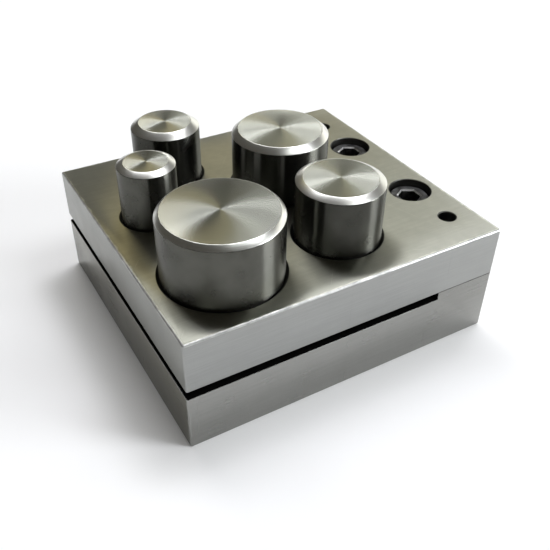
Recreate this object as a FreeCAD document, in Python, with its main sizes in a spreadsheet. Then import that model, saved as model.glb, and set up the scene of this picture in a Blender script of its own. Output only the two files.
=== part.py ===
import FreeCAD, Part
import os
import Sketcher

# Jewellers' disc cutter, in millimetres.
# The origin is the middle of the block's underside, +Z is up, +X is to the right, and the sheet slot
# opens to the front, which is -Y. The guide plate is bolted and dowelled to the die plate along the
# strip at the back, and five loose punches stand on the bench in their bores.

# Driving sizes: name, value, what it is
SIZES = (
    ("half_inch_diameter", 12.7, "punch"),
    ("five_eighths_diameter", 15.875, "punch"),
    ("three_quarter_diameter", 19.05, "punch"),
    ("seven_eighths_diameter", 22.225, "punch"),
    ("one_inch_diameter", 25.4, "punch"),
    ("half_inch_length", 40.8, "punch"),
    ("five_eighths_length", 41.0, "punch"),
    ("three_quarter_length", 41.0, "punch"),
    ("seven_eighths_length", 41.5, "punch"),
    ("one_inch_length", 41.8, "punch"),
    ("half_inch_bevel_width", 1.55, "bevel of the struck end, along its radius"),
    ("five_eighths_bevel_width", 1.85, "bevel of the struck end, along its radius"),
    ("three_quarter_bevel_width", 1.6, "bevel of the struck end, along its radius"),
    ("seven_eighths_bevel_width", 1.45, "bevel of the struck end, along its radius"),
    ("one_inch_bevel_width", 1.0, "bevel of the struck end, along its radius"),
    ("half_inch_bevel_height", 0.75, "bevel of the struck end, along its axis"),
    ("five_eighths_bevel_height", 1.2, "bevel of the struck end, along its axis"),
    ("three_quarter_bevel_height", 0.85, "bevel of the struck end, along its axis"),
    ("seven_eighths_bevel_height", 1.25, "bevel of the struck end, along its axis"),
    ("one_inch_bevel_height", 1.05, "bevel of the struck end, along its axis"),
    ("running_clearance", 0.03, "punch in its bore, radial"),
    ("right_wall", 3.9, "1 inch bore to the right-hand face"),
    ("front_wall", 3.65, "1 inch bore to the front face"),
    ("front_web", 6.85, "1 inch bore to the 1/2 inch one, across the block"),
    ("half_inch_wall", 5.35, "1/2 inch bore to the front face"),
    ("left_web", 4.6, "1/2 inch bore to the 5/8 inch one"),
    ("left_wall", 5.0, "5/8 inch bore to the left-hand face"),
    ("right_web", 5.45, "1 inch bore to the 3/4 inch one behind it"),
    ("back_web", 4.0, "3/4 inch bore to the 7/8 inch one beside it"),
    ("slot_wall", 5.8, "7/8 inch bore to the back of the slot"),
    ("strip_width", 15.25, "bolted strip behind the slot"),
    ("guide_thickness", 11.8, "upper plate, which guides the punches"),
    ("die_thickness", 15.6, "lower plate, at the bolted strip"),
    ("slot_height", 2.0, "sheet slot milled into the top of the die plate"),
    ("edge_break", 0.4, "chamfer on the outer edges"),
    ("parting_break", 0.12, "chamfer where the plates meet and along the slot's mouth"),
    ("bore_lead", 0.65, "chamfer at the mouth of a guide bore"),
    ("land_height", 4.0, "cutting land at the top of a die bore"),
    ("relief_clearance", 0.4, "die bore round its punch below the land, radial"),
    ("relief_lead", 0.5, "chamfer where a die bore opens in the underside"),
    ("fastener_inset", 7.0, "row of screws and pins to the back face"),
    ("screw_inset", 23.0, "screw to the nearer side face"),
    ("screw_diameter", 6.35, "thread, over its crests"),
    ("screw_length", 15.875, "screw below its head"),
    ("screw_tip", 0.8, "chamfer at the end of the thread"),
    ("head_diameter", 9.525, "cap head"),
    ("head_height", 6.35, "cap head"),
    ("head_break", 0.5, "chamfer round the top of the head"),
    ("socket_flats", 4.763, "hexagon socket across its flats"),
    ("socket_depth", 3.1, "hexagon socket"),
    ("head_recess", 1.5, "top of the head below the guide plate's face"),
    ("counterbore_clearance", 0.2, "head in its counterbore, radial"),
    ("counterbore_lead", 0.15, "chamfer at the counterbore's mouth"),
    ("shank_clearance", 0.15, "screw in the guide plate, radial"),
    ("thread_clearance", 0.02, "screw in its tapped hole, radial"),
    ("dowel_inset", 9.8, "dowel pin to the nearer side face"),
    ("dowel_diameter", 3.97, "dowel pin"),
    ("dowel_length", 16.0, "dowel pin"),
    ("dowel_break", 0.4, "chamfer at each end of a dowel pin"),
    ("dowel_recess", 4.5, "top of a dowel pin below the guide plate's face"),
    ("dowel_clearance", 0.01, "dowel pin in its reamed hole, radial"),
    ("dowel_lead", 0.2, "chamfer at a dowel hole's mouth"),
)

PUNCHES = ("half_inch", "five_eighths", "three_quarter", "seven_eighths", "one_inch")

# The step from the 1/2 inch bore to the 5/8 inch one, to the left and back, as shares of its length
LEFT_STEP_SHARES = (0.813, 0.582)

# Places worked out from the sizes. The bores are set out from the right-hand face and the front face,
# each from its neighbour across a web, and the block is as large as its bores and walls need.
LAYOUT = (
    ("one_inch_right", "sizes.right_wall + sizes.one_inch_diameter / 2"),
    ("front_step", "sizes.front_web + (sizes.one_inch_diameter + sizes.half_inch_diameter) / 2"),
    ("half_inch_right", "one_inch_right + front_step"),
    ("left_step", "sizes.left_web + (sizes.half_inch_diameter + sizes.five_eighths_diameter) / 2"),
    ("five_eighths_right", f"half_inch_right + left_step * {LEFT_STEP_SHARES[0]}"),
    ("three_quarter_right", "one_inch_right"),
    ("back_step", "sizes.back_web + (sizes.three_quarter_diameter + sizes.seven_eighths_diameter) / 2"),
    ("seven_eighths_right", "three_quarter_right + back_step"),
    ("one_inch_front", "sizes.front_wall + sizes.one_inch_diameter / 2"),
    ("half_inch_front", "sizes.half_inch_wall + sizes.half_inch_diameter / 2"),
    ("five_eighths_front", f"half_inch_front + left_step * {LEFT_STEP_SHARES[1]}"),
    ("right_step", "sizes.right_web + (sizes.one_inch_diameter + sizes.three_quarter_diameter) / 2"),
    ("three_quarter_front", "one_inch_front + right_step"),
    ("seven_eighths_front", "three_quarter_front"),
    ("slot_depth", "seven_eighths_front + sizes.seven_eighths_diameter / 2 + sizes.slot_wall"),
    ("half_width", "(five_eighths_right + sizes.five_eighths_diameter / 2 + sizes.left_wall) / 2"),
    ("half_length", "(slot_depth + sizes.strip_width) / 2"),
    ("slot_back", "half_length - sizes.strip_width"),
    ("slot_floor", "sizes.die_thickness - sizes.slot_height"),
    ("top_face", "sizes.die_thickness + sizes.guide_thickness"),
    ("counterbore_depth", "sizes.head_recess + sizes.head_height"),
    ("screw_seat", "top_face - counterbore_depth"),
    ("dowel_foot", "top_face - sizes.dowel_recess - sizes.dowel_length"),
    ("screw_x", "half_width - sizes.screw_inset"),
    ("dowel_x", "half_width - sizes.dowel_inset"),
    ("fastener_y", "half_length - sizes.fastener_inset"),
)

# How near two places are for them to count as one
MATCH = 0.001

# Degrees
FULL_TURN = 360
HEXAGON_STEP = 60


# The sheet of driving sizes
def make_sheet(doc):
    sheet = doc.addObject("Spreadsheet::Sheet", "sizes")
    for row, (alias, value, note) in enumerate(SIZES, start=1):
        sheet.set(f"A{row}", alias)
        sheet.set(f"B{row}", str(value))
        sheet.set(f"C{row}", note)
        sheet.setAlias(f"B{row}", alias)
    doc.recompute()
    return sheet


# The set of places that follow from the sheet
def make_layout(doc):
    layout = doc.addObject("App::VarSet", "layout")
    places = list(LAYOUT)
    for punch in PUNCHES:
        places.append((punch + "_x", f"half_width - {punch}_right"))
        places.append((punch + "_y", f"{punch}_front - half_length"))
    for name, value in places:
        layout.addProperty("App::PropertyFloat", name, "Layout")
        layout.setExpression(name, value)
    doc.recompute()
    return layout


# A body, and a sketch on one of its planes or at a height above it
def make_body(doc, label):
    body = doc.addObject("PartDesign::Body", label)
    body.Label = label
    return body


def origin_plane(body, role):
    return next(item for item in body.Origin.OriginFeatures if item.Role == role)


def make_sketch(body, name, role="XY_Plane", height=None):
    sketch = body.newObject("Sketcher::SketchObject", name)
    sketch.AttachmentSupport = [(origin_plane(body, role), "")]
    sketch.MapMode = "FlatFace"
    if height:
        sketch.setExpression("AttachmentOffset.Base.z", height)
    return sketch


# A point of a sketch, held by the sizes: kept on an axis, or dimensioned from the origin
def hold_point(sketch, curve, end, x, y):
    for kind, axis, value in (("DistanceX", -2, x), ("DistanceY", -1, y)):
        distance = sketch.evalExpression(value)
        if abs(distance) < MATCH:
            sketch.addConstraint(Sketcher.Constraint("PointOnObject", curve, end, axis))
        else:
            index = sketch.addConstraint(Sketcher.Constraint(kind, -1, 1, curve, end, distance))
            sketch.setExpression(f"Constraints[{index}]", value)


# A closed outline through points given as expressions of the sizes
def draw_outline(sketch, points):
    corners = [FreeCAD.Vector(*(sketch.evalExpression(value) for value in point)) for point in points]
    count = len(points)
    for index in range(count):
        following = corners[(index + 1) % count]
        sketch.addGeometry(Part.LineSegment(corners[index], following), False)
    for index in range(count):
        following = (index + 1) % count
        sketch.addConstraint(Sketcher.Constraint("Coincident", index, 2, following, 1))
    for index, (x, y) in enumerate(points):
        hold_point(sketch, index, 1, x, y)


def draw_circle(sketch, x, y, radius):
    centre = FreeCAD.Vector(sketch.evalExpression(x), sketch.evalExpression(y))
    size = sketch.evalExpression(radius)
    curve = sketch.addGeometry(Part.Circle(centre, FreeCAD.Vector(0, 0, 1), size), False)
    hold_point(sketch, curve, 3, x, y)
    index = sketch.addConstraint(Sketcher.Constraint("Radius", curve, size))
    sketch.setExpression(f"Constraints[{index}]", radius)


# A regular hexagon round the origin, with a corner on the X axis
def draw_hexagon(sketch, flats):
    corner = f"{flats} / 2 / cos({HEXAGON_STEP} / 2)"
    angles = range(0, FULL_TURN, HEXAGON_STEP)
    draw_outline(sketch, [(f"{corner} * cos({angle})", f"{corner} * sin({angle})") for angle in angles])


# Features of a body
def make_pad(body, name, sketch, length):
    pad = body.newObject("PartDesign::Pad", name)
    pad.Profile = sketch
    pad.setExpression("Length", length)
    body.Document.recompute()
    return pad


# A pocket to a depth, or else right through; it goes down from its sketch unless it is told to go up
def make_pocket(body, name, sketch, depth=None, upwards=False):
    volume = body.Tip.Shape.Volume
    pocket = body.newObject("PartDesign::Pocket", name)
    pocket.Profile = sketch
    pocket.Reversed = upwards
    if depth:
        pocket.setExpression("Length", depth)
    else:
        pocket.Type = "ThroughAll"
    body.Document.recompute()
    if pocket.Shape.isNull() or pocket.Shape.Volume >= volume:
        raise RuntimeError(name + " cuts nothing")
    return pocket


# A body turned from a profile in the plane of X and Z, about Z
def make_turned(body, points):
    profile = make_sketch(body, body.Label + "_profile", "XZ_Plane")
    draw_outline(profile, points)
    revolution = body.newObject("PartDesign::Revolution", body.Label + "_turned")
    revolution.Profile = profile
    revolution.ReferenceAxis = (profile, ["V_Axis"])
    revolution.Angle = FULL_TURN
    body.Document.recompute()
    return revolution


# A chamfer on every edge of the body so far that is wanted
def make_chamfer(body, name, size, wanted):
    base = body.Tip
    edges = [f"Edge{number}" for number, edge in enumerate(base.Shape.Edges, start=1) if wanted(edge)]
    if not edges:
        raise RuntimeError(name + " finds no edge")
    chamfer = body.newObject("PartDesign::Chamfer", name)
    chamfer.Base = (base, edges)
    chamfer.setExpression("Size", size)
    body.Document.recompute()
    return chamfer


# The left-hand copy of features on the right of a plate
def make_mirror(body, name, features):
    mirror = body.newObject("PartDesign::Mirrored", name)
    mirror.Originals = features
    mirror.MirrorPlane = (origin_plane(body, "YZ_Plane"), [""])
    body.Tip = mirror
    body.Document.recompute()
    return mirror


def lies_at(edge, height):
    box = edge.BoundBox
    return abs(box.ZMin - height) < MATCH and abs(box.ZMax - height) < MATCH


# The edges at one height that run round the outside of the block
def outline_edges(sheet, layout, height):
    def wanted(edge):
        middle = edge.CenterOfMass
        at_side = layout.half_width - abs(middle.x) < sheet.edge_break
        at_end = layout.half_length - abs(middle.y) < sheet.edge_break
        return lies_at(edge, height) and not isinstance(edge.Curve, Part.Circle) and (at_side or at_end)

    return wanted


# The round edges at one height: all of them, or those of one radius
def round_edges(height, radius=None):
    def wanted(edge):
        if not isinstance(edge.Curve, Part.Circle) or not lies_at(edge, height):
            return False
        return radius is None or abs(edge.Curve.Radius - radius) < MATCH

    return wanted


# The blank of a plate, with its four upright corners broken
def make_blank(body, thickness):
    side = "layout.half_width"
    end = "layout.half_length"
    quarter = [(side, f"({end} - sizes.edge_break)"), (f"({side} - sizes.edge_break)", end)]
    points = list(quarter)
    points += [(f"-1 * {x}", y) for x, y in reversed(quarter)]
    points += [(f"-1 * {x}", f"-1 * {y}") for x, y in quarter]
    points += [(x, f"-1 * {y}") for x, y in reversed(quarter)]
    sketch = make_sketch(body, body.Label + "_outline")
    draw_outline(sketch, points)
    make_pad(body, body.Label + "_blank", sketch, thickness)


# A circle at every bore, wider than its punch all round by the clearance
def bore_sketch(body, name, clearance, height=None):
    sketch = make_sketch(body, name, height=height)
    for punch in PUNCHES:
        radius = f"sizes.{punch}_diameter / 2 + sizes.{clearance}"
        draw_circle(sketch, f"layout.{punch}_x", f"layout.{punch}_y", radius)
    return sketch


# A hole for the right-hand screw or dowel pin, to a depth or right through a plate
def fastener_hole(body, name, fastener, size, clearance, face, depth=None):
    sketch = make_sketch(body, name + "_circle", height=face)
    radius = f"sizes.{size}_diameter / 2 + sizes.{clearance}"
    draw_circle(sketch, f"layout.{fastener}_x", "layout.fastener_y", radius)
    return make_pocket(body, name, sketch, depth)


# Guide plate: bores that steer the punches, counterbored holes for the screws, reamed dowel holes
def make_guide_plate(doc, sheet, layout):
    body = make_body(doc, "guide_plate")
    body.setExpression("Placement.Base.z", "sizes.die_thickness")
    face = "sizes.guide_thickness"
    top = sheet.guide_thickness
    make_blank(body, face)
    make_chamfer(body, "guide_top_break", "sizes.edge_break", outline_edges(sheet, layout, top))
    make_chamfer(body, "guide_parting_break", "sizes.parting_break", outline_edges(sheet, layout, 0))
    make_pocket(body, "guide_bores", bore_sketch(body, "guide_bore_circles", "running_clearance", face))
    make_chamfer(body, "guide_bore_leads", "sizes.bore_lead", round_edges(top))
    depth = "layout.counterbore_depth"
    holes = [
        fastener_hole(body, "counterbore", "screw", "head", "counterbore_clearance", face, depth),
        fastener_hole(body, "shank_hole", "screw", "screw", "shank_clearance", face),
        fastener_hole(body, "guide_dowel_hole", "dowel", "dowel", "dowel_clearance", face),
    ]
    make_mirror(body, "guide_left_holes", holes)
    head_radius = sheet.head_diameter / 2 + sheet.counterbore_clearance
    dowel_radius = sheet.dowel_diameter / 2 + sheet.dowel_clearance
    make_chamfer(body, "counterbore_leads", "sizes.counterbore_lead", round_edges(top, head_radius))
    make_chamfer(body, "guide_dowel_leads", "sizes.dowel_lead", round_edges(top, dowel_radius))
    return body


# Die plate: the sheet slot, a sharp cutting land in each bore with relief below it, tapped holes
def make_die_plate(doc, sheet, layout):
    body = make_body(doc, "die_plate")
    face = "sizes.die_thickness"
    make_blank(body, face)
    make_chamfer(body, "die_foot_break", "sizes.edge_break", outline_edges(sheet, layout, 0))
    parting = outline_edges(sheet, layout, sheet.die_thickness)
    make_chamfer(body, "die_parting_break", "sizes.parting_break", parting)
    slot = make_sketch(body, "slot_outline", height=face)
    side = "(layout.half_width + sizes.edge_break)"
    front = "-1 * (layout.half_length + sizes.edge_break)"
    back = "layout.slot_back"
    draw_outline(slot, [(f"-1 * {side}", front), (side, front), (side, back), (f"-1 * {side}", back)])
    make_pocket(body, "sheet_slot", slot, "sizes.slot_height")
    mouth = outline_edges(sheet, layout, layout.slot_floor)
    make_chamfer(body, "slot_mouth_break", "sizes.parting_break", mouth)
    make_pocket(body, "die_bores", bore_sketch(body, "die_land_circles", "running_clearance", face))
    relief = bore_sketch(body, "die_relief_circles", "relief_clearance")
    make_pocket(body, "die_relief", relief, "layout.slot_floor - sizes.land_height", upwards=True)
    make_chamfer(body, "die_relief_leads", "sizes.relief_lead", round_edges(0))
    holes = [
        fastener_hole(body, "tapped_hole", "screw", "screw", "thread_clearance", face),
        fastener_hole(body, "die_dowel_hole", "dowel", "dowel", "dowel_clearance", face),
    ]
    make_mirror(body, "die_left_holes", holes)
    return body


# A punch: ground square and sharp at its cutting end, bevelled where it is struck
def make_punch(doc, punch):
    body = make_body(doc, "punch_" + punch)
    radius = f"sizes.{punch}_diameter / 2"
    length = f"sizes.{punch}_length"
    shoulder = f"{length} - sizes.{punch}_bevel_height"
    face_radius = f"{radius} - sizes.{punch}_bevel_width"
    make_turned(body, [("0", "0"), (radius, "0"), (radius, shoulder), (face_radius, length), ("0", length)])
    body.setExpression("Placement.Base.x", f"layout.{punch}_x")
    body.setExpression("Placement.Base.y", f"layout.{punch}_y")
    return body


# A cap screw: its head sits on the counterbore's floor, its thread holds in the die plate
def make_cap_screw(doc, side_name, side):
    body = make_body(doc, "cap_screw_" + side_name)
    head = "sizes.head_diameter / 2"
    thread = "sizes.screw_diameter / 2"
    points = [
        ("0", "sizes.head_height"),
        ("0", "-1 * sizes.screw_length"),
        (f"{thread} - sizes.screw_tip", "-1 * sizes.screw_length"),
        (thread, "sizes.screw_tip - sizes.screw_length"),
        (thread, "0"),
        (head, "0"),
        (head, "sizes.head_height - sizes.head_break"),
        (f"{head} - sizes.head_break", "sizes.head_height"),
    ]
    make_turned(body, points)
    hexagon = make_sketch(body, body.Label + "_hexagon", height="sizes.head_height")
    draw_hexagon(hexagon, "sizes.socket_flats")
    make_pocket(body, body.Label + "_socket", hexagon, "sizes.socket_depth")
    place_fastener(body, side, "screw", "layout.screw_seat")
    return body


# A dowel pin: straight, with both ends bevelled
def make_dowel_pin(doc, side_name, side):
    body = make_body(doc, "dowel_pin_" + side_name)
    radius = "sizes.dowel_diameter / 2"
    tip = f"{radius} - sizes.dowel_break"
    points = [
        ("0", "0"),
        (tip, "0"),
        (radius, "sizes.dowel_break"),
        (radius, "sizes.dowel_length - sizes.dowel_break"),
        (tip, "sizes.dowel_length"),
        ("0", "sizes.dowel_length"),
    ]
    make_turned(body, points)
    place_fastener(body, side, "dowel", "layout.dowel_foot")
    return body


def place_fastener(body, side, fastener, height):
    body.setExpression("Placement.Base.x", f"{side} * layout.{fastener}_x")
    body.setExpression("Placement.Base.y", "layout.fastener_y")
    body.setExpression("Placement.Base.z", height)


# Build, check and write
def main():
    doc = FreeCAD.newDocument("disc_cutter")
    sheet = make_sheet(doc)
    layout = make_layout(doc)
    pieces = [make_guide_plate(doc, sheet, layout), make_die_plate(doc, sheet, layout)]
    pieces += [make_punch(doc, punch) for punch in PUNCHES]
    for side_name, side in (("left", -1), ("right", 1)):
        pieces.append(make_cap_screw(doc, side_name, side))
        pieces.append(make_dowel_pin(doc, side_name, side))
    doc.recompute()
    for item in doc.Objects:
        if "Invalid" in item.State or "Error" in item.State:
            raise RuntimeError(item.Label + " failed: " + ", ".join(item.State))
    for piece in pieces:
        shape = piece.Shape
        if shape.isNull() or not shape.isValid() or len(shape.Solids) != 1:
            raise RuntimeError(piece.Label + " is not one sound solid")
    os.makedirs("parts", exist_ok=True)
    for piece in pieces:
        piece.Shape.exportStep(f"parts/{piece.Label}.step")
        box = piece.Shape.BoundBox
        print(f"{piece.Label}: {box.XLength:.2f} x {box.YLength:.2f} x {box.ZLength:.2f} mm")


main()
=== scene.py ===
"""A jewelers disc cutter: ground plates, polished punches, black cap screws and dowel pins."""
import math

import bmesh
import bpy
from mathutils import Matrix, Vector


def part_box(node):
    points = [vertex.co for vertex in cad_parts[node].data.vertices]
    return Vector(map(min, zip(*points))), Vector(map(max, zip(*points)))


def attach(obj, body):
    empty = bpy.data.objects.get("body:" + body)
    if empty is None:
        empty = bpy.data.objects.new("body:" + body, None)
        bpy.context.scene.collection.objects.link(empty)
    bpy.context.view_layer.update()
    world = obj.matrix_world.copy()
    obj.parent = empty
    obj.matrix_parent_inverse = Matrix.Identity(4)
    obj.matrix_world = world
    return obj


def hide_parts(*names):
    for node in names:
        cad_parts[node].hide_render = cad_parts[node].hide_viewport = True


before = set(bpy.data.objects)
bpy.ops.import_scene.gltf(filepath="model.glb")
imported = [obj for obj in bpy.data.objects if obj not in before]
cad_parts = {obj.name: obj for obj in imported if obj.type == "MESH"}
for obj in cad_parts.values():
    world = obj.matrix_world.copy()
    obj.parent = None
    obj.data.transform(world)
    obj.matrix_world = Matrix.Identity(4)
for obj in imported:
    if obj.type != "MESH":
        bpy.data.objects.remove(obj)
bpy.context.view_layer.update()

MM = 0.001
FULL_TURN = math.tau
NEAR = 1e-6                    # places closer than this count as one, in metres
PLATE_FACE_AREA = 1e-4         # every large face of a plate is larger than this, in square metres

# Sizes that the frame's boxes don't give, in metres

EDGE_BREAK = 0.4 * MM          # outer edges of both plates
PARTING_BREAK = 0.13 * MM      # edges along the parting line and the mouth of the slot
EDGE_SEGMENTS = 4
PUNCH_CLEARANCE = 0.03 * MM    # between a punch and its bores, on the radius
GUIDE_LEAD = 0.65 * MM         # chamfer at the mouth of each guide bore
GUIDE_LEAD_ROUNDING = 0.15 * MM
CUTTING_LAND = 4.0 * MM        # height of each die bore's cutting land
RELIEF_STEP = 0.4 * MM         # how much wider the die bores are below the land
RELIEF_CHAMFER = 0.5 * MM
SLOT_DEPTH = 2.0 * MM
STRIP_WIDTH = 15.25 * MM
COUNTERBORE_RADIUS = 4.9625 * MM
COUNTERBORE_DEPTH = 7.85 * MM
COUNTERBORE_LEAD = 0.15 * MM
SHANK_HOLE_RADIUS = 3.325 * MM
TAPPED_HOLE_RADIUS = 3.195 * MM
PIN_HOLE_RADIUS = 1.995 * MM
PIN_HOLE_LEAD = 0.2 * MM
HEAD_HEIGHT = 6.35 * MM
HEAD_CHAMFER = 0.5 * MM
THREAD_RADIUS = 3.175 * MM
THREAD_DEPTH = 0.6 * MM
THREAD_PITCH = 1.27 * MM
THREAD_CREST = 0.16 * MM       # width of the flat along the thread's top
THREAD_ROOT = 1.1 * MM         # width of the thread where it stands on the core
THREAD_STEPS = 36              # facets in one turn of the thread
KNURL_DEPTH = 0.12 * MM        # the straight grooves round each screw's head
KNURL_RIM = 0.04 * MM
SOCKET_ACROSS_FLATS = 4.763 * MM
SOCKET_DEPTH = 3.1 * MM
SOCKET_DRILL_POINT = 0.8 * MM
RIM_WEAR_AND_HIGHLIGHT = 1.3 * MM            # how far the top's rim, rubbing wear with a painted highlight, reaches in from the edges
SOCKET_LEAD = 0.3 * MM         # the chamfer round the mouth of the hexagon
PIN_CHAMFER = 0.4 * MM
PIN_ROUNDING = 0.06 * MM
SCREW_TIP_ROUNDING = 0.3 * MM
SEAT_ROUNDING = 0.15 * MM      # under the rim of each screw's head
HEAD_ROUNDING = 0.1 * MM
CUTTING_EDGE_ROUNDING = 0.03 * MM
SHOULDER_ROUNDING = 0.12 * MM  # where a punch's body meets its bevel
STRUCK_END_ROUNDING = 0.1 * MM
END_SKIN = 0.012 * MM          # faces of a punch this close below its top belong to the faced end
HOLE_MARGIN = 0.5 * MM         # every hole keeps at least this far inside a plate's outline

# Each punch: its body, the width and height of the bevel round its struck end, and the tones of its
# hardened side and its faced end. All five are one steel: these tones differ from punch to punch as
# painted light and shade, each set lighter or darker as light falls on that punch

PUNCHES = {
    "punch_half_inch": ("half_inch", 1.55 * MM, 0.75 * MM, 0.12, 0.5),
    "punch_five_eighths": ("five_eighths", 1.85 * MM, 1.2 * MM, 0.07, 0.61),
    "punch_three_quarter": ("three_quarter", 1.6 * MM, 0.85 * MM, 0.077, 0.62),
    "punch_seven_eighths": ("seven_eighths", 1.45 * MM, 1.25 * MM, 0.088, 0.69),
    "punch_one_inch": ("one_inch", 1.0 * MM, 1.05 * MM, 0.118, 0.41),
}
SCREWS = ("cap_screw_left", "cap_screw_right")
PINS = ("dowel_pin_left", "dowel_pin_right")

BEVEL_TINT = (0.73, 0.73, 0.69)

SCRATCH_TURNS = (23.0, 71.0, 128.0)    # degrees

BORE_STEPS = 96
PUNCH_STEPS = 192
SCREW_STEPS = 72

# Camera, at the photograph's angle

CAMERA_AZIMUTH = math.radians(59.2)
CAMERA_ELEVATION = math.radians(37.62)
CAMERA_ROLL = math.radians(0.98)
CAMERA_AIM = Vector((0.0, 0.0, 14.158 * MM))
CAMERA_OFFSET = Vector((1.366 * MM, -7.037 * MM, 173.9 * MM))
CAMERA_LENS = 47.04
CAMERA_SENSOR = 36.0


# Shader nodes

def add_node(tree, kind, inputs=None, **settings):
    """Adds a node, sets it up, and gives its inputs values or links."""
    made = tree.nodes.new(kind)
    for name, value in settings.items():
        setattr(made, name, value)
    for name, value in (inputs or {}).items():
        if isinstance(value, bpy.types.NodeSocket):
            tree.links.new(value, made.inputs[name])
        else:
            made.inputs[name].default_value = value
    return made


def calculate(tree, operation, *values):
    """A Math node's output. Values are numbers or sockets."""
    return add_node(tree, "ShaderNodeMath", dict(enumerate(values)), operation=operation).outputs[0]


def along(tree, operation, *values):
    """A Vector Math node. Its first output is a vector, and its output Value a number."""
    return add_node(tree, "ShaderNodeVectorMath", dict(enumerate(values)), operation=operation)


def ramp(tree, value, low, high, start=0.0, end=1.0):
    """value from low to high, turned into start to end with a soft curve at both."""
    inputs = {"Value": value, "From Min": low, "From Max": high, "To Min": start, "To Max": end}
    return add_node(tree, "ShaderNodeMapRange", inputs, interpolation_type="SMOOTHSTEP").outputs["Result"]


def blend_colours(tree, share, first, second):
    """first turned into second by share. Inputs 0, 6 and 7 are the colour form's share and colours."""
    made = add_node(tree, "ShaderNodeMix", {0: share, 6: first, 7: second}, data_type="RGBA")
    return made.outputs[2]


def blend_vectors(tree, share, first, second):
    """first turned into second by share. Inputs 0, 4 and 5 are the vector form's share and vectors."""
    made = add_node(tree, "ShaderNodeMix", {0: share, 4: first, 5: second}, data_type="VECTOR")
    return made.outputs[1]


def noise(tree, vector, scale, detail=2.0, roughness=0.5):
    """A noise texture's value, from 0 to 1."""
    inputs = {"Vector": vector, "Scale": scale, "Detail": detail, "Roughness": roughness}
    return add_node(tree, "ShaderNodeTexNoise", inputs).outputs["Fac"]


def new_group(name, inputs, outputs):
    """A shader node group, and the nodes that hold its inputs and outputs."""
    group = bpy.data.node_groups.new(name, "ShaderNodeTree")
    for label, value in inputs.items():
        kind = "NodeSocketVector" if value is None else "NodeSocketFloat"
        socket = group.interface.new_socket(label, in_out="INPUT", socket_type=kind)
        if value is not None:
            socket.default_value = value
    for label in outputs:
        group.interface.new_socket(label, in_out="OUTPUT", socket_type="NodeSocketFloat")
    return group, group.nodes.new("NodeGroupInput"), group.nodes.new("NodeGroupOutput")


def place_group(tree, group, **inputs):
    """The group's outputs, with inputs given by name. An underscore stands for a space."""
    made = add_node(tree, "ShaderNodeGroup", node_tree=group)
    for name, value in inputs.items():
        socket = made.inputs[name.replace("_", " ")]
        if isinstance(value, bpy.types.NodeSocket):
            tree.links.new(value, socket)
        else:
            socket.default_value = value
    return made.outputs


# Effects that several materials share

def make_grinding_group():
    """The straight marks of a surface grinder, along X on faces that look along Y, and along Y elsewhere."""
    group, given, result = new_group("grinding_marks", {"Marks per mm": 3.0, "Length mm": 14.0}, ["Marks"])
    coordinates = add_node(group, "ShaderNodeTexCoord")
    facing = add_node(group, "ShaderNodeSeparateXYZ", {"Vector": coordinates.outputs["Normal"]})
    looks_along_y = calculate(group, "GREATER_THAN", calculate(group, "ABSOLUTE", facing.outputs["Y"]), 0.7)
    across = calculate(group, "DIVIDE", given.outputs["Marks per mm"], MM)
    lengthwise = calculate(group, "DIVIDE", 1.0 / MM, given.outputs["Length mm"])
    along_y = add_node(group, "ShaderNodeCombineXYZ", {"X": across, "Y": lengthwise, "Z": across}).outputs[0]
    along_x = add_node(group, "ShaderNodeCombineXYZ", {"X": lengthwise, "Y": across, "Z": across}).outputs[0]
    stretch = blend_vectors(group, looks_along_y, along_y, along_x)
    place = along(group, "MULTIPLY", coordinates.outputs["Object"], stretch).outputs[0]
    marks = noise(group, place, 1.0, detail=3.0, roughness=0.6)
    group.links.new(ramp(group, marks, 0.25, 0.75), result.inputs["Marks"])
    return group


def make_smudge_group():
    """Broad uneven patches, as a wiped film of oil and fingers leave."""
    group, given, result = new_group("smudges", {"Size mm": 9.0}, ["Smudges"])
    place = add_node(group, "ShaderNodeTexCoord").outputs["Object"]
    scale = calculate(group, "DIVIDE", 1.0 / MM, given.outputs["Size mm"])
    film = noise(group, place, scale, detail=3.0, roughness=0.5)
    group.links.new(ramp(group, film, 0.25, 0.8), result.inputs["Smudges"])
    return group


def make_scratch_group():
    """Fine straight scratches in three directions, in short lengths, as dragged sheets and swarf leave."""
    group, given, result = new_group("scratches", {"Marks per mm": 4.0, "Length mm": 6.0}, ["Scratches"])
    place = add_node(group, "ShaderNodeTexCoord").outputs["Object"]
    across = calculate(group, "DIVIDE", given.outputs["Marks per mm"], MM)
    patches = calculate(group, "DIVIDE", 1.0 / MM, given.outputs["Length mm"])
    lines = add_node(group, "ShaderNodeCombineXYZ", {"X": across, "Y": 0.01 / MM, "Z": 0.0}).outputs[0]
    total = 0.0
    for turn in SCRATCH_TURNS:
        rotation = (0.0, 0.0, math.radians(turn))
        turned = add_node(group, "ShaderNodeMapping", {"Vector": place, "Rotation": rotation})
        stretched = along(group, "MULTIPLY", turned.outputs[0], lines).outputs[0]
        streaks = ramp(group, noise(group, stretched, 1.0, detail=1.0), 0.68, 0.76)
        length = ramp(group, noise(group, turned.outputs[0], patches, detail=1.0), 0.54, 0.62)
        total = calculate(group, "MAXIMUM", total, calculate(group, "MULTIPLY", streaks, length))
    group.links.new(total, result.inputs["Scratches"])
    return group


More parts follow.
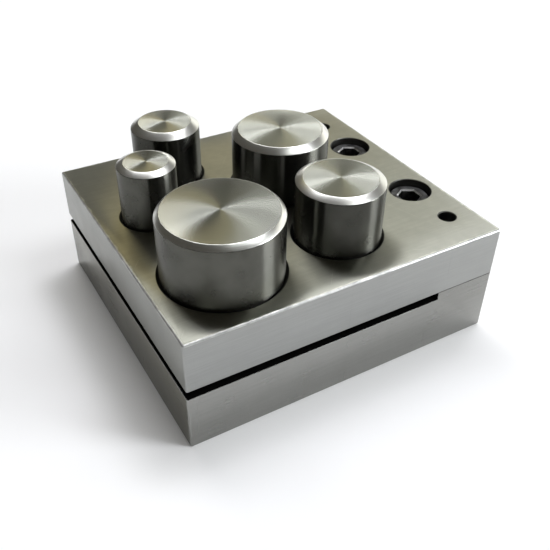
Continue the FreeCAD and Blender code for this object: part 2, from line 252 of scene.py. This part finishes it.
def make_ring_group():
    """The fine rings that a lathe tool leaves about a centre line along Z."""
    group, given, result = new_group("lathe_rings", {"Centre": None, "Rings per mm": 4.0}, ["Rings"])
    place = add_node(group, "ShaderNodeTexCoord").outputs["Object"]
    flat = along(group, "MULTIPLY", along(group, "SUBTRACT", place, given.outputs["Centre"]).outputs[0],
                 (1.0, 1.0, 0.0)).outputs[0]
    radius = along(group, "LENGTH", flat).outputs["Value"]
    closeness = calculate(group, "DIVIDE", given.outputs["Rings per mm"], MM)
    turns = calculate(group, "MULTIPLY", radius, closeness)
    spot = add_node(group, "ShaderNodeCombineXYZ", {"X": turns}).outputs[0]
    rings = noise(group, spot, 1.0, detail=3.0, roughness=0.65)
    group.links.new(ramp(group, rings, 0.25, 0.75), result.inputs["Rings"])
    return group


# Materials

def new_material(name):
    """A material and its Principled shader, with the material's other default nodes left out."""
    material = bpy.data.materials.new(name)
    material.use_nodes = True
    tree = material.node_tree
    return material, tree, tree.nodes["Principled BSDF"]


def shaded(tint, share):
    """A tint made darker or lighter, as a colour for a shader."""
    red, green, blue = tint
    return (red * share, green * share, blue * share, 1.0)


def tone(tree, colour, mask, share, tint):
    """The colour, turned towards a tint where the mask is, by a share at most."""
    return blend_colours(tree, calculate(tree, "MULTIPLY", mask, share), colour, tint)


def set_steel(tree, shader, colour, roughness, bump, strength, distance):
    """Metal whose colour, roughness and bump follow the sockets given."""
    shader.inputs["Metallic"].default_value = 1.0
    tree.links.new(colour, shader.inputs["Base Color"])
    tree.links.new(roughness, shader.inputs["Roughness"])
    relief = add_node(tree, "ShaderNodeBump", {"Height": bump, "Strength": strength, "Distance": distance})
    tree.links.new(relief.outputs["Normal"], shader.inputs["Normal"])


def ground_steel(name, effects, tint, rough, marks_depth, smudge=0.3, scratch=0.1):
    """A surface-ground face, with its grinding marks, smudges and scratches."""
    material, tree, shader = new_material(name)
    marks = place_group(tree, effects["grinding"])["Marks"]
    smudges = place_group(tree, effects["smudges"])["Smudges"]
    scratches = place_group(tree, effects["scratches"])["Scratches"]
    colour = blend_colours(tree, marks, shaded(tint, 0.9), shaded(tint, 1.0))
    colour = tone(tree, colour, smudges, smudge, shaded(tint, 0.8))
    roughness = calculate(tree, "MULTIPLY_ADD", smudges, 0.08, rough)
    roughness = calculate(tree, "MULTIPLY_ADD", marks, 0.05, roughness)
    roughness = calculate(tree, "MULTIPLY_ADD", scratches, scratch, roughness)
    height = calculate(tree, "MULTIPLY_ADD", scratches, -0.5, marks)
    set_steel(tree, shader, colour, roughness, height, 0.25, marks_depth)
    return material


def worn_rim_and_highlight(tree, half_x, half_y):
    """1 on the rim of the level top, with a ragged inner border: rubbing wear that also carries a painted
    highlight along the edges.
    """
    place = add_node(tree, "ShaderNodeTexCoord").outputs["Object"]
    outward = along(tree, "ABSOLUTE", place).outputs[0]
    parts = add_node(tree, "ShaderNodeSeparateXYZ", {"Vector": outward}).outputs
    inward_x = calculate(tree, "SUBTRACT", half_x, parts["X"])
    inward_y = calculate(tree, "SUBTRACT", half_y, parts["Y"])
    inward = calculate(tree, "MINIMUM", inward_x, inward_y)
    ragged = noise(tree, place, 0.5 / MM, detail=3.0)
    reach = calculate(tree, "MULTIPLY", ragged, RIM_WEAR_AND_HIGHLIGHT)
    return ramp(tree, calculate(tree, "SUBTRACT", reach, inward), -0.1 * MM, 0.25 * MM)


def polished_top(name, effects, tint, rough):
    """The level top: ground and polished, with a rim that is rubbing wear and a painted highlight, and its
    gloss drawn out along Y.
    """
    material, tree, shader = new_material(name)
    _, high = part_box("guide_plate")
    marks = place_group(tree, effects["grinding"], Marks_per_mm=2.0)["Marks"]
    smudges = place_group(tree, effects["smudges"])["Smudges"]
    blots = place_group(tree, effects["smudges"], Size_mm=2.5)["Smudges"]
    scratches = place_group(tree, effects["scratches"])["Scratches"]
    rim = worn_rim_and_highlight(tree, high.x, high.y)
    colour = blend_colours(tree, marks, shaded(tint, 0.9), shaded(tint, 1.0))
    colour = tone(tree, colour, smudges, 0.4, shaded(tint, 0.75))
    colour = tone(tree, colour, blots, 0.4, shaded(tint, 0.75))
    colour = tone(tree, colour, scratches, 0.5, shaded(tint, 1.3))
    # The rim is painted lighter: a painted highlight along the top's edges, over its rubbing wear
    colour = tone(tree, colour, rim, 0.9, shaded(tint, 1.5))
    roughness = calculate(tree, "MULTIPLY_ADD", smudges, 0.06, rough)
    roughness = calculate(tree, "MULTIPLY_ADD", scratches, 0.15, roughness)
    roughness = calculate(tree, "MULTIPLY_ADD", rim, 0.35, roughness)
    set_steel(tree, shader, colour, roughness, marks, 0.2, 0.001 * MM)
    draw_out_gloss(tree, shader, "X", 1.0)
    return material


def draw_out_gloss(tree, shader, axis, anisotropy, quarter_turn=False):
    """Draws the gloss out round an axis, or along the axis with a quarter turn."""
    tangent = add_node(tree, "ShaderNodeTangent", direction_type="RADIAL", axis=axis)
    tree.links.new(tangent.outputs[0], shader.inputs["Tangent"])
    shader.inputs["Anisotropic"].default_value = anisotropy
    shader.inputs["Anisotropic Rotation"].default_value = 0.25 if quarter_turn else 0.0


def turned_steel(name, effects, centre, tint, rough, rings_per_mm, smudge,
                 anisotropy=0.0, quarter_turn=False):
    """Steel turned or ground round a centre line along Z. Anisotropy draws its gloss out."""
    material, tree, shader = new_material(name)
    rings = place_group(tree, effects["rings"], Centre=centre, Rings_per_mm=rings_per_mm)["Rings"]
    smudges = place_group(tree, effects["smudges"], Size_mm=5.0)["Smudges"]
    colour = blend_colours(tree, rings, shaded(tint, 0.9), shaded(tint, 1.0))
    film = calculate(tree, "MULTIPLY", smudges, smudge)
    colour = blend_colours(tree, film, colour, shaded(tint, 0.6))
    shader.inputs["Metallic"].default_value = 1.0
    tree.links.new(colour, shader.inputs["Base Color"])
    tree.links.new(calculate(tree, "MULTIPLY_ADD", film, 0.1, rough), shader.inputs["Roughness"])
    if anisotropy:
        draw_out_gloss(tree, shader, "Z", anisotropy, quarter_turn)
    return material


def black_oxide(name, effects, dark, light):
    """Blackened steel, from a dark to a lighter grey where it is rubbed."""
    material, tree, shader = new_material(name)
    smudges = place_group(tree, effects["smudges"], Size_mm=1.5)["Smudges"]
    colour = blend_colours(tree, smudges, (dark, dark, dark, 1.0), (light, light, light, 1.0))
    roughness = calculate(tree, "MULTIPLY_ADD", smudges, 0.15, 0.3)
    set_steel(tree, shader, colour, roughness, smudges, 0.1, 0.02 * MM)
    return material


def dark_painted_shade(name, effects, dark, light):
    """A dark matt surface: painted shade in the slot and along the parting line."""
    material, tree, shader = new_material(name)
    smudges = place_group(tree, effects["smudges"], Size_mm=3.0)["Smudges"]
    colour = blend_colours(tree, smudges, (dark, dark, dark * 0.9, 1.0), (light, light, light * 0.9, 1.0))
    tree.links.new(colour, shader.inputs["Base Color"])
    shader.inputs["Roughness"].default_value = 0.8
    shader.inputs["Specular IOR Level"].default_value = 0.02
    return material


def rubbed_edge(name, effects):
    """The broken edges of the ground plates, rubbed bright in places and dull in others."""
    material, tree, shader = new_material(name)
    wear = place_group(tree, effects["smudges"], Size_mm=2.2)["Smudges"]
    colour = blend_colours(tree, wear, (0.36, 0.36, 0.35, 1.0), (0.62, 0.62, 0.6, 1.0))
    roughness = calculate(tree, "MULTIPLY_ADD", wear, -0.12, 0.5)
    set_steel(tree, shader, colour, roughness, wear, 0.1, 0.01 * MM)
    return material


# Modelling

def axis_point(node):
    """The middle of a CAD node, at height zero."""
    low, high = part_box(node)
    return Vector(((low.x + high.x) / 2, (low.y + high.y) / 2, 0.0))


def outer_radius(node):
    """Half the width of a round CAD node."""
    low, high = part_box(node)
    return max(high.x - low.x, high.y - low.y) / 2


def spin_profile(shape, centre, corners, steps, dvec=(0.0, 0.0, 0.0), turn=FULL_TURN):
    """Spins a profile about a line along Z. Each corner is its radius, its height and its rounding."""
    points = [shape.verts.new(centre + Vector((radius, 0.0, height))) for radius, height, _ in corners]
    lines = [shape.edges.new(pair) for pair in zip(points, points[1:])]
    kept = {point: rounding for point, (_, _, rounding) in zip(points, corners) if rounding}
    for point, rounding in kept.items():
        made = bmesh.ops.bevel(shape, geom=[point], offset=rounding, segments=3, profile=0.5,
                               affect="VERTICES", material=-1)
        points += made["verts"]
        lines += made["edges"]
    points = [point for point in points if point.is_valid]
    lines = [line for line in set(lines) | {e for p in points for e in p.link_edges} if line.is_valid]
    bmesh.ops.spin(shape, geom=points + lines, cent=centre, axis=(0, 0, 1), angle=turn, steps=steps,
                   dvec=dvec, use_merge=True)


def merge_close(shape):
    """Merges points that lie in one place."""
    bmesh.ops.remove_doubles(shape, verts=shape.verts[:], dist=NEAR / 2)


def open_plane(shape, height):
    """Removes the large level faces at a height, and leaves their outlines."""
    flat = [face for face in shape.faces
            if is_flat(face, 2) and abs(face.calc_center_median().z - height) < NEAR
            and face.calc_area() > PLATE_FACE_AREA]
    bmesh.ops.delete(shape, geom=flat, context="FACES_ONLY")


def close_plane(shape, height, upward):
    """Fills the open outlines that lie at a height, holes left out."""
    rims = [edge for edge in shape.edges
            if len(edge.link_faces) == 1 and all(abs(point.co.z - height) < NEAR for point in edge.verts)]
    bmesh.ops.triangle_fill(shape, use_beauty=True, edges=rims, normal=(0, 0, 1 if upward else -1))


def round_edges(shape, amount, chosen):
    """Rounds the edges that chosen picks by their two ends."""
    edges = [edge for edge in shape.edges if chosen(edge.verts[0].co, edge.verts[1].co)]
    bmesh.ops.bevel(shape, geom=edges, offset=amount, segments=EDGE_SEGMENTS, profile=0.5,
                    affect="EDGES", material=-1, clamp_overlap=True)


def finish_piece(name, shape, materials, body, slot, *nodes):
    """Turns a shape into a piece with smooth rounds and crisp edges that stands for its CAD nodes."""
    bmesh.ops.recalc_face_normals(shape, faces=shape.faces[:])
    for edge in shape.edges:
        edge.smooth = edge.is_manifold and edge.calc_face_angle(0.0) < math.radians(35)
    for face in shape.faces:
        face.smooth = True
    mesh = bpy.data.meshes.new(name)
    shape.to_mesh(mesh)
    shape.free()
    for material in materials:
        mesh.materials.append(material)
    piece = bpy.data.objects.new(name, mesh)
    bpy.context.scene.collection.objects.link(piece)
    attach(piece, body)
    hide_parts(*nodes)
    return piece


def paint_faces(shape, index, chosen):
    """Gives the faces that chosen picks the material with that index in the piece's list."""
    for face in shape.faces:
        if chosen(face):
            face.material_index = index


# The plates

def is_flat(face, axis):
    """True on faces square to an axis: 0 is X, 1 is Y and 2 is Z."""
    return abs(face.normal[axis]) > 0.999


def on_parting_line(face, height, step):
    """True on the rounded edges that meet at the parting line, behind the slot."""
    middle = face.calc_center_median()
    return abs(middle.z - height) < PARTING_BREAK and middle.y > step and max(map(abs, face.normal)) < 0.995


def is_hole_wall(face, low, high):
    """True on the walls and leads of the holes in a plate."""
    middle = face.calc_center_median()
    return (low.x + HOLE_MARGIN < middle.x < high.x - HOLE_MARGIN
            and low.y + HOLE_MARGIN < middle.y < high.y - HOLE_MARGIN
            and not is_flat(face, 2))


def make_guide_plate(materials):
    """The upper plate: guide bores with a lead, counterbored screw holes and pin holes."""
    low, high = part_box("guide_plate")
    shape = bmesh.new()
    bmesh.ops.create_cube(shape, size=1.0)
    bmesh.ops.scale(shape, vec=high - low, verts=shape.verts[:])
    bmesh.ops.translate(shape, vec=(low + high) / 2, verts=shape.verts[:])
    round_edges(shape, EDGE_BREAK, lambda a, b: max(a.z, b.z) > high.z - NEAR)
    round_edges(shape, PARTING_BREAK, lambda a, b: max(a.z, b.z) < low.z + NEAR)
    for height in (low.z, high.z):
        open_plane(shape, height)
    for punch in PUNCHES:
        radius = outer_radius(punch) + PUNCH_CLEARANCE
        spin_profile(shape, axis_point(punch), [
            (radius + GUIDE_LEAD, high.z, 0.0),
            (radius, high.z - GUIDE_LEAD, GUIDE_LEAD_ROUNDING),
            (radius, low.z, 0.0)], BORE_STEPS)
    for screw in SCREWS:
        spin_profile(shape, axis_point(screw), [
            (COUNTERBORE_RADIUS + COUNTERBORE_LEAD, high.z, 0.0),
            (COUNTERBORE_RADIUS, high.z - COUNTERBORE_LEAD, 0.0),
            (COUNTERBORE_RADIUS, high.z - COUNTERBORE_DEPTH, 0.0),
            (SHANK_HOLE_RADIUS, high.z - COUNTERBORE_DEPTH, 0.0),
            (SHANK_HOLE_RADIUS, low.z, 0.0)], BORE_STEPS)
    for pin in PINS:
        spin_profile(shape, axis_point(pin), [
            (PIN_HOLE_RADIUS + PIN_HOLE_LEAD, high.z, 0.0),
            (PIN_HOLE_RADIUS, high.z - PIN_HOLE_LEAD, 0.0),
            (PIN_HOLE_RADIUS, low.z, 0.0)], BORE_STEPS)
    merge_close(shape)
    close_plane(shape, high.z, True)
    close_plane(shape, low.z, False)
    # The hole walls take the dark bore steel: painted shade inside the holes
    paint_faces(shape, 1, lambda face: is_hole_wall(face, low, high))
    paint_faces(shape, 2, lambda face: is_flat(face, 2) and face.calc_center_median().z > high.z - NEAR)
    # The parting line's rounds are painted near-black: painted shade in the groove between the plates
    paint_faces(shape, 3, lambda face: on_parting_line(face, low.z, high.y - STRIP_WIDTH))
    # The underside, the slot's roof, is painted near-black: painted shade in the slot
    paint_faces(shape, 5, lambda face: is_flat(face, 2) and face.calc_center_median().z < low.z + NEAR)
    # The front face takes a darker copy of the side steel: painted shade
    paint_faces(shape, 6, lambda face: is_flat(face, 1) and face.calc_center_median().y < low.y + NEAR)
    paint_faces(shape, 4, lambda face: face.material_index == 0 and not is_flat(face, 2)
                and face.calc_center_median().z > high.z - EDGE_BREAK)
    return finish_piece("guide_plate_ground", shape, materials, "block", "ground_steel", "guide_plate")


def in_slot(face, floor, step):
    """True on the slot's floor and its back wall."""
    middle = face.calc_center_median()
    return middle.z > floor - NEAR and middle.y < step + NEAR and (is_flat(face, 2) or is_flat(face, 1))


def make_die_plate(materials):
    """The lower plate: the sheet slot, die bores with a cutting land and relief, and the strip that carries
    the screws and pins."""
    low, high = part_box("die_plate")
    floor = high.z - SLOT_DEPTH
    step = high.y - STRIP_WIDTH
    shape = bmesh.new()
    outline = [(low.y, low.z), (high.y, low.z), (high.y, high.z),
               (step, high.z), (step, floor), (low.y, floor)]
    side = shape.faces.new([shape.verts.new((low.x, y, z)) for y, z in outline])
    drawn = bmesh.ops.extrude_face_region(shape, geom=[side])["geom"]
    bmesh.ops.translate(shape, vec=(high.x - low.x, 0.0, 0.0),
                        verts=[item for item in drawn if isinstance(item, bmesh.types.BMVert)])
    bmesh.ops.recalc_face_normals(shape, faces=shape.faces[:])

    def outer_edge(a, b):
        upright = abs(a.z - b.z) > SLOT_DEPTH and abs(a.y - b.y) < NEAR
        return upright or max(a.z, b.z) < low.z + NEAR

    def upper_edge(a, b):
        level = abs(a.z - b.z) < NEAR and min(a.z, b.z) > floor - NEAR
        foot_of_step = abs(a.y - step) < NEAR and abs(b.y - step) < NEAR and a.z < high.z - NEAR
        return level and not foot_of_step

    round_edges(shape, EDGE_BREAK, outer_edge)
    round_edges(shape, PARTING_BREAK, upper_edge)
    for height in (low.z, floor, high.z):
        open_plane(shape, height)
    for punch in PUNCHES:
        radius = outer_radius(punch) + PUNCH_CLEARANCE
        relief = outer_radius(punch) + RELIEF_STEP
        spin_profile(shape, axis_point(punch), [
            (radius, floor, 0.0),
            (radius, floor - CUTTING_LAND, 0.0),
            (relief, floor - CUTTING_LAND, 0.0),
            (relief, low.z + RELIEF_CHAMFER, 0.0),
            (relief + RELIEF_CHAMFER, low.z, 0.0)], BORE_STEPS)
    for screw in SCREWS:
        spin_profile(shape, axis_point(screw), [
            (TAPPED_HOLE_RADIUS, high.z, 0.0), (TAPPED_HOLE_RADIUS, low.z, 0.0)], BORE_STEPS)
    for pin in PINS:
        spin_profile(shape, axis_point(pin), [
            (PIN_HOLE_RADIUS, high.z, 0.0), (PIN_HOLE_RADIUS, low.z, 0.0)], BORE_STEPS)
    merge_close(shape)
    close_plane(shape, high.z, True)
    close_plane(shape, floor, True)
    close_plane(shape, low.z, False)
    # The hole walls take the dark bore steel: painted shade inside the holes
    paint_faces(shape, 1, lambda face: is_hole_wall(face, low, high))
    # The parting line's rounds are painted near-black: painted shade in the groove between the plates
    paint_faces(shape, 2, lambda face: on_parting_line(face, high.z, step))
    # The slot's floor and back wall are painted near-black: painted shade in the slot
    paint_faces(shape, 3, lambda face: in_slot(face, floor, step))
    # The front face takes a darker copy of the side steel: painted shade
    paint_faces(shape, 4, lambda face: is_flat(face, 1) and face.calc_center_median().y < low.y + NEAR)
    return finish_piece("die_plate_ground", shape, materials, "block", "ground_steel", "die_plate")


# The punches

def make_punch(node, effects):
    """A round punch: a sharp flat cutting end, a ground body, and a bevelled, faced end to strike."""
    body, bevel_width, bevel_height, painted_side_tone, painted_end_tone = PUNCHES[node]
    low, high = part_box(node)
    centre = axis_point(node)
    radius = outer_radius(node)
    shape = bmesh.new()
    spin_profile(shape, centre, [
        (0.0, low.z, 0.0),
        (radius, low.z, CUTTING_EDGE_ROUNDING),
        (radius, high.z - bevel_height, SHOULDER_ROUNDING),
        (radius - bevel_width, high.z, STRUCK_END_ROUNDING),
        (0.0, high.z, 0.0)], PUNCH_STEPS)
    merge_close(shape)

    def faced(face):
        height = face.calc_center_median().z
        return height > high.z - END_SKIN or height < low.z + NEAR

    paint_faces(shape, 1, lambda face: face.calc_center_median().z > high.z - bevel_height)
    paint_faces(shape, 2, faced)
    # Each punch's side and end tones are painted light and shade: a lighter or darker copy of the same steel
    # per punch
    side = (painted_side_tone, painted_side_tone, painted_side_tone * 0.88)
    end = (painted_end_tone, painted_end_tone * 1.02, painted_end_tone * 0.92)
    materials = [
        turned_steel(node + "_body", effects, centre, side, rough=0.235, rings_per_mm=2.0, smudge=0.5,
                     anisotropy=1.0, quarter_turn=True),
        turned_steel(node + "_bevel", effects, centre, BEVEL_TINT, rough=0.29, rings_per_mm=5.0, smudge=0.3),
        turned_steel(node + "_faced_end", effects, centre, end, rough=0.26, rings_per_mm=4.0, smudge=0.1,
                     anisotropy=0.96),
    ]
    return finish_piece(node + "_turned", shape, materials, body, "punch_steel", node)


# The screws and pins

def add_thread(shape, centre, low, high):
    """A helical ridge round a screw's core, from one height to another."""
    foot = THREAD_RADIUS - 1.1 * THREAD_DEPTH
    start = centre + Vector((0.0, 0.0, low + THREAD_ROOT / 2))
    outline = [(foot, -THREAD_ROOT / 2), (THREAD_RADIUS, -THREAD_CREST / 2),
               (THREAD_RADIUS, THREAD_CREST / 2), (foot, THREAD_ROOT / 2)]
    section = shape.faces.new([shape.verts.new(start + Vector((x, 0.0, z))) for x, z in outline])
    rise = high - low - THREAD_ROOT
    turns = rise / THREAD_PITCH
    steps = round(turns * THREAD_STEPS)
    bmesh.ops.spin(shape, geom=[section], cent=centre, axis=(0, 0, 1), angle=turns * FULL_TURN, steps=steps,
                   dvec=(0, 0, rise / steps))


def add_knurl(shape, centre, radius):
    """Straight grooves round a screw's head, one in every other facet of its side."""
    facet = FULL_TURN / SCREW_STEPS

    def side_of_head(face):
        away = face.calc_center_median() - centre
        return abs(face.normal.z) < 0.01 and math.hypot(away.x, away.y) > radius - KNURL_DEPTH / 2

    def grooved(face):
        away = face.calc_center_median() - centre
        return math.floor(math.atan2(away.y, away.x) / facet) % 2 == 0

    faces = [face for face in shape.faces if side_of_head(face) and grooved(face)]
    bmesh.ops.inset_individual(shape, faces=faces, thickness=KNURL_RIM, depth=-KNURL_DEPTH)


def make_cap_screw(node, materials):
    """A socket head cap screw, with its thread as a helical ridge round the core."""
    low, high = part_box(node)
    centre = axis_point(node)
    radius = outer_radius(node)
    seat = high.z - HEAD_HEIGHT
    core = THREAD_RADIUS - THREAD_DEPTH
    shape = bmesh.new()
    spin_profile(shape, centre, [
        (0.0, low.z, 0.0),
        (core, low.z, SCREW_TIP_ROUNDING),
        (core, seat, 0.0),
        (radius, seat, SEAT_ROUNDING),
        (radius, high.z - HEAD_CHAMFER, HEAD_ROUNDING),
        (radius - HEAD_CHAMFER, high.z, 0.0)], SCREW_STEPS)
    merge_close(shape)
    bmesh.ops.recalc_face_normals(shape, faces=shape.faces[:])
    add_knurl(shape, centre, radius)
    add_thread(shape, centre, low.z, seat)
    corner = SOCKET_ACROSS_FLATS / math.sqrt(3.0)
    mouth = corner + SOCKET_LEAD
    hexagon = bmesh.ops.create_circle(shape, segments=6, radius=mouth, cap_ends=False,
                                      matrix=Matrix.Translation(centre + Vector((0, 0, high.z)))
                                      @ Matrix.Rotation(math.radians(90), 4, "Z"))
    rim = list({edge for point in hexagon["verts"] for edge in point.link_edges})
    for narrower, depth in ((corner / mouth, SOCKET_LEAD), (1.0, SOCKET_DEPTH - SOCKET_LEAD)):
        drawn = bmesh.ops.extrude_edge_only(shape, edges=rim)["geom"]
        deeper = [item for item in drawn if isinstance(item, bmesh.types.BMVert)]
        rim = [item for item in drawn if isinstance(item, bmesh.types.BMEdge)]
        bmesh.ops.scale(shape, vec=(narrower, narrower, 1.0), space=Matrix.Translation(-centre), verts=deeper)
        bmesh.ops.translate(shape, vec=(0, 0, -depth), verts=deeper)
    bottom = bmesh.ops.contextual_create(shape, geom=rim)
    poked = bmesh.ops.poke(shape, faces=bottom["faces"])
    bmesh.ops.translate(shape, vec=(0, 0, -SOCKET_DRILL_POINT), verts=poked["verts"])
    close_plane(shape, high.z, True)

    def worn(face):
        middle = face.calc_center_median()
        away = math.hypot(middle.x - centre.x, middle.y - centre.y)
        return middle.z > high.z - SOCKET_LEAD and away < mouth and not is_flat(face, 2)

    paint_faces(shape, 1, worn)
    return finish_piece(node + "_blackened", shape, materials, "block", "black_screw", node)


def make_dowel_pin(node, material):
    """A ground dowel pin with a chamfer at each end."""
    low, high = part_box(node)
    radius = outer_radius(node)
    shape = bmesh.new()
    spin_profile(shape, axis_point(node), [
        (0.0, low.z, 0.0),
        (radius - PIN_CHAMFER, low.z, PIN_ROUNDING),
        (radius, low.z + PIN_CHAMFER, PIN_ROUNDING),
        (radius, high.z - PIN_CHAMFER, PIN_ROUNDING),
        (radius - PIN_CHAMFER, high.z, PIN_ROUNDING),
        (0.0, high.z, 0.0)], SCREW_STEPS)
    merge_close(shape)
    return finish_piece(node + "_ground", shape, [material], "block", "pin_steel", node)


# The studio

FLOOR_HALF = 3.0
FLOOR_WHITE = 0.9
FLOOR_GLOW = 0.05
ROOM_COLOUR = (0.07, 0.066, 0.056)

# Each soft box: azimuth, elevation, half width and half height in degrees, softness of its edge as a share of
# its size, and colour, where 1 is white

SOFT_BOXES = {
    "ceiling_lamp": (110.3, 67.3, 10.5, 6.0, 0.25, (7.6, 7.6, 7.9)),
    "ceiling_panel": (146.5, 65.6, 22.0, 6.5, 0.21, (7.5, 7.55, 7.9)),
    "right_ceiling": (50.7, 53.5, 9.0, 9.5, 0.25, (4.1, 4.2, 4.4)),
    "right_high": (30.0, 64.0, 14.0, 7.0, 0.3, (2.7, 2.8, 2.8)),
    "right_slit": (51.0, 45.0, 3.5, 5.0, 0.3, (9.0, 9.2, 9.6)),
    "right_window": (53.0, 8.0, 10.0, 9.0, 0.21, (31.0, 32.0, 33.2)),
    "back_wall": (105.0, 10.5, 61.5, 10.2, 0.2, (1.8, 1.8, 1.68)),
    "back_panel": (146.0, 36.0, 10.0, 9.0, 0.6, (0.26, 0.26, 0.21)),
    "left_panel": (172.0, 52.0, 9.0, 7.0, 0.3, (2.4, 2.4, 2.3)),
    "left_wall": (172.0, 38.0, 8.0, 7.0, 0.3, (1.1, 0.94, 0.52)),
}


def make_floor():
    """A pale floor. A little of its white is its own glow, which only the camera and reflections see, so that
    it is white where it is lit and keeps the shadow."""
    material = bpy.data.materials.new("pale_floor")
    material.use_nodes = True
    tree = material.node_tree
    tree.nodes.clear()
    paths = add_node(tree, "ShaderNodeLightPath").outputs
    seen = calculate(tree, "MAXIMUM", paths["Is Camera Ray"], paths["Is Glossy Ray"])
    seen = calculate(tree, "MAXIMUM", seen, paths["Is Transmission Ray"])
    matt = add_node(tree, "ShaderNodeBsdfDiffuse", {"Color": (FLOOR_WHITE,) * 3 + (1.0,)})
    glow = add_node(tree, "ShaderNodeEmission", {"Strength": calculate(tree, "MULTIPLY", seen, FLOOR_GLOW)})
    both = add_node(tree, "ShaderNodeAddShader", {0: matt.outputs[0], 1: glow.outputs[0]})
    add_node(tree, "ShaderNodeOutputMaterial", {"Surface": both.outputs[0]})
    shape = bmesh.new()
    bmesh.ops.create_grid(shape, x_segments=1, y_segments=1, size=FLOOR_HALF)
    mesh = bpy.data.meshes.new("floor")
    shape.to_mesh(mesh)
    shape.free()
    mesh.materials.append(material)
    floor = bpy.data.objects.new("floor", mesh)
    bpy.context.scene.collection.objects.link(floor)


def direction(azimuth, elevation):
    """A unit vector. Azimuth runs from +X towards +Y, and both angles are in degrees."""
    turn, rise = math.radians(azimuth), math.radians(elevation)
    return Vector((math.cos(rise) * math.cos(turn), math.cos(rise) * math.sin(turn), math.sin(rise)))


def soft_box(tree, towards, azimuth, elevation, half_width, half_height, softness):
    """How much of a far rectangular soft box is seen in a direction. Sizes are angles in degrees."""
    ahead = direction(azimuth, elevation)
    sideways = direction(azimuth - 90.0, 0.0)
    depth = along(tree, "DOT_PRODUCT", towards, ahead).outputs["Value"]
    seen = calculate(tree, "GREATER_THAN", depth, 0.0)
    for axis, half in ((sideways, half_width), (sideways.cross(ahead), half_height)):
        offset = calculate(tree, "DIVIDE", along(tree, "DOT_PRODUCT", towards, axis).outputs["Value"], depth)
        edge = math.tan(math.radians(half))
        inside = ramp(tree, calculate(tree, "ABSOLUTE", offset),
                      edge * (1.0 - softness), edge * (1.0 + softness), 1.0, 0.0)
        seen = calculate(tree, "MULTIPLY", seen, inside)
    return seen


def make_world():
    """The studio round the block: soft boxes far away in a dark room. The camera itself sees white."""
    world = bpy.data.worlds.new("studio")
    world.use_nodes = True
    bpy.context.scene.world = world
    tree = world.node_tree
    tree.nodes.clear()
    towards = add_node(tree, "ShaderNodeTexCoord").outputs["Generated"]
    room = ROOM_COLOUR
    for azimuth, elevation, half_width, half_height, softness, colour in SOFT_BOXES.values():
        seen = soft_box(tree, towards, azimuth, elevation, half_width, half_height, softness)
        lit = add_node(tree, "ShaderNodeVectorMath", {"Vector": colour, "Scale": seen}, operation="SCALE")
        room = along(tree, "ADD", room, lit.outputs[0]).outputs[0]
    camera = add_node(tree, "ShaderNodeLightPath").outputs["Is Camera Ray"]
    colour = blend_colours(tree, camera, room, (1.0, 1.0, 1.0, 1.0))
    light = add_node(tree, "ShaderNodeBackground", {"Color": colour})
    add_node(tree, "ShaderNodeOutputWorld", {"Surface": light.outputs[0]})


def make_camera():
    """The camera, at the photograph's angle and frame."""
    data = bpy.data.cameras.new("camera")
    data.lens = CAMERA_LENS
    data.sensor_width = CAMERA_SENSOR
    data.clip_start = 0.01
    camera = bpy.data.objects.new("camera", data)
    camera.matrix_world = (Matrix.Translation(CAMERA_AIM)
                           @ Matrix.Rotation(CAMERA_AZIMUTH, 4, "Z")
                           @ Matrix.Rotation(math.radians(90) - CAMERA_ELEVATION, 4, "X")
                           @ Matrix.Rotation(CAMERA_ROLL, 4, "Z")
                           @ Matrix.Translation(CAMERA_OFFSET))
    bpy.context.scene.collection.objects.link(camera)
    bpy.context.scene.camera = camera


def main():
    bpy.context.scene.view_settings.view_transform = "Standard"
    effects = {"grinding": make_grinding_group(), "smudges": make_smudge_group(),
               "scratches": make_scratch_group(), "rings": make_ring_group()}
    guide_side = ground_steel("guide_plate_side", effects, (0.34, 0.345, 0.335), 0.28, 0.005 * MM)
    # The plates' front faces, towards -Y, are darker copies of their side steel: painted shade on the side
    # that lies in shade
    guide_front_painted_shade = ground_steel("guide_plate_front_painted_shade", effects, (0.29, 0.295, 0.275), 0.28, 0.005 * MM)
    die_side = ground_steel("die_plate_side", effects, (0.3, 0.3, 0.285), 0.18, 0.003 * MM)
    die_front_painted_shade = ground_steel("die_plate_front_painted_shade", effects, (0.155, 0.152, 0.12), 0.18, 0.003 * MM)
    # The bore walls are painted dark: painted shade inside the holes
    bore = ground_steel("bore_painted_shade", effects, (0.13, 0.13, 0.12), 0.3, 0.005 * MM, smudge=0.4, scratch=0.0)
    top = polished_top("polished_top", effects, (0.53, 0.535, 0.465), 0.32)
    # Near-black matt surfaces along the parting line and in the slot: painted shade
    parting_shade = dark_painted_shade("parting_line_painted_shade", effects, 0.02, 0.09)
    slot = dark_painted_shade("slot_painted_shade", effects, 0.002, 0.005)
    edge = rubbed_edge("rubbed_edge", effects)
    make_guide_plate([guide_side, bore, top, parting_shade, edge, slot, guide_front_painted_shade])
    make_die_plate([die_side, bore, parting_shade, slot, die_front_painted_shade])
    for node in PUNCHES:
        make_punch(node, effects)
    oxide = black_oxide("black_oxide", effects, 0.07, 0.19)
    worn_oxide = black_oxide("worn_oxide", effects, 0.5, 0.85)
    for node in SCREWS:
        make_cap_screw(node, [oxide, worn_oxide])
    pin = ground_steel("pin_steel", effects, (0.5, 0.5, 0.49), 0.2, 0.004 * MM, scratch=0.0)
    for node in PINS:
        make_dowel_pin(node, pin)
    make_floor()
    make_world()
    make_camera()


main()
